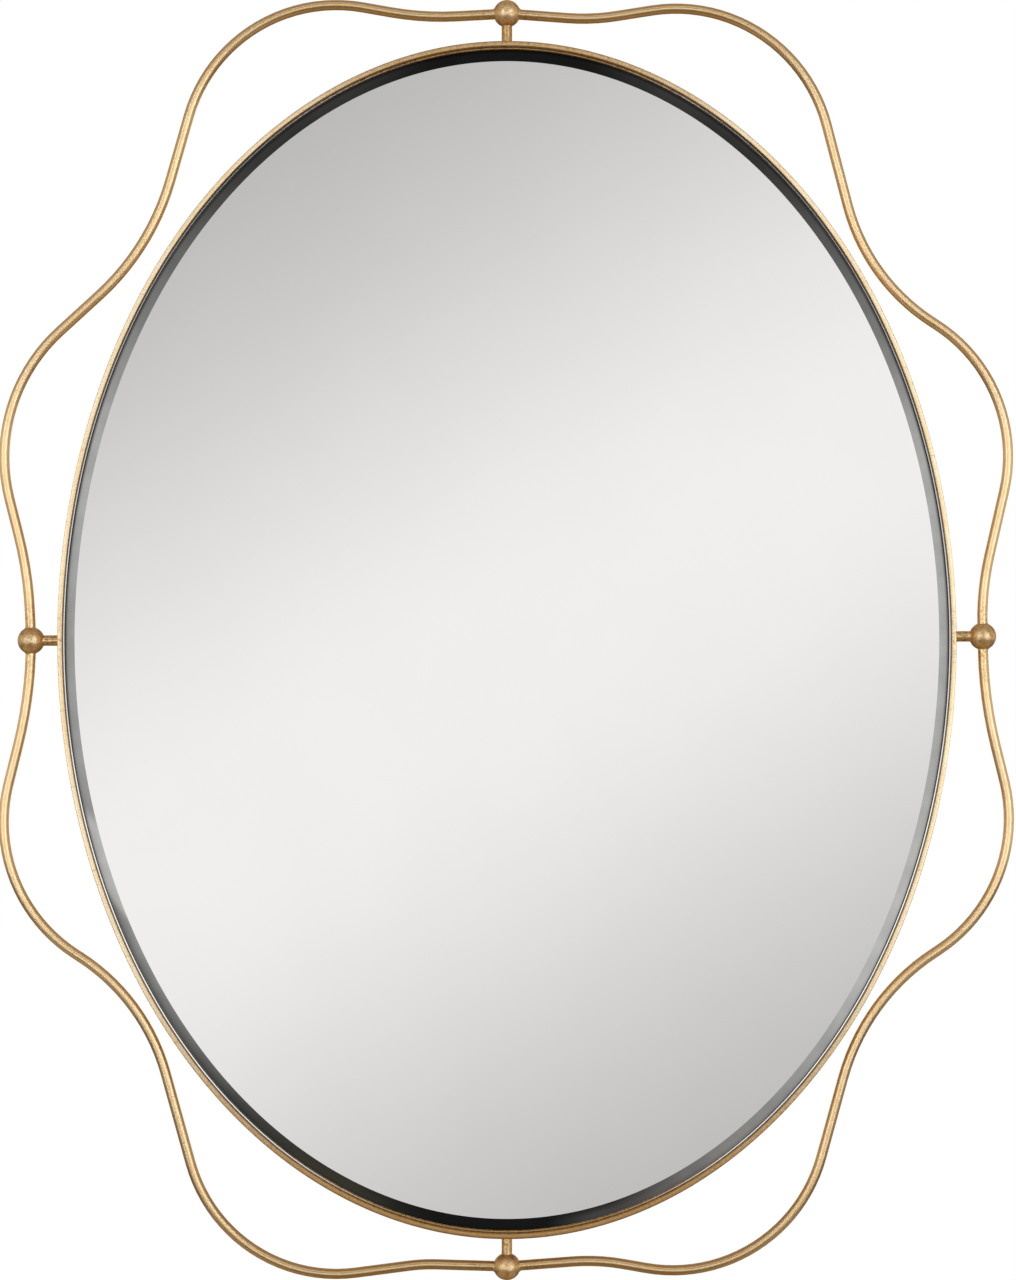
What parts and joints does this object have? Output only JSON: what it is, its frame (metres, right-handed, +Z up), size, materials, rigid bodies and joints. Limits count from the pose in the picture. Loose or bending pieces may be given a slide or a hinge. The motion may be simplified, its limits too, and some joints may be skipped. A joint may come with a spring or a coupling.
{
  "type": "oval mirror",
  "caption": "Oval wall mirror with bevelled glass in a thin gilt band, inside a wavy gilt frame of round bar that runs through balls; hangs from D-rings.",
  "frame": {"origin": "centre of the oval, on the wall that the felt strips rest against", "axes": "+Z up, the long way of the oval; -Y out of the wall towards the viewer; +X to the viewer's right"},
  "size_m": [0.9678, 0.0266, 1.2201],
  "materials": {
    "gold_leaf_band": "burnished gold leaf over steel",
    "gold_leaf_rods": "rubbed gold leaf over steel",
    "gold_leaf_balls": "rubbed gold leaf over steel",
    "mirror_glass": "silvered glass with a polished bevel",
    "foam_tape": "foam",
    "black_board": "black painted fibreboard",
    "black_steel": "black paint",
    "zinc_steel": "zinc plated",
    "grey_felt": "felt"
  },
  "bodies": {
    "mirror": {"rim_band": "gold_leaf_band", "wavy_rod_upper_left": "gold_leaf_rods", "wavy_rod_upper_right": "gold_leaf_rods", "wavy_rod_lower_left": "gold_leaf_rods", "wavy_rod_lower_right": "gold_leaf_rods", "ball_top": "gold_leaf_balls", "ball_bottom": "gold_leaf_balls", "ball_left": "gold_leaf_balls", "ball_right": "gold_leaf_balls", "post_top": "gold_leaf_rods", "post_bottom": "gold_leaf_rods", "post_left": "gold_leaf_rods", "post_right": "gold_leaf_rods", "mirror_glass": "mirror_glass", "mirror_tape": "foam_tape", "backing_board": "black_board", "mounting_tabs": "black_steel", "hanger_plate_left": "black_steel", "hanger_plate_right": "black_steel", "tab_screws": "zinc_steel", "hanger_strap_left": "zinc_steel", "hanger_strap_right": "zinc_steel", "hanger_screws_left": "zinc_steel", "hanger_screws_right": "zinc_steel", "wall_felt": "grey_felt"},
    "ring_left": {"d_ring_left": "zinc_steel"},
    "ring_right": {"d_ring_right": "zinc_steel"}
  },
  "joints": [
    {"name": "ring_left_swing", "type": "hinge", "parent": "mirror", "child": "ring_left", "pos_m": [-0.25, -0.00497, 0.39397], "axis": [1, 0, 0], "range_deg": [0, 176]},
    {"name": "ring_right_swing", "type": "hinge", "parent": "mirror", "child": "ring_right", "pos_m": [0.25, -0.00497, 0.39397], "axis": [1, 0, 0], "range_deg": [0, 176]}
  ]
}
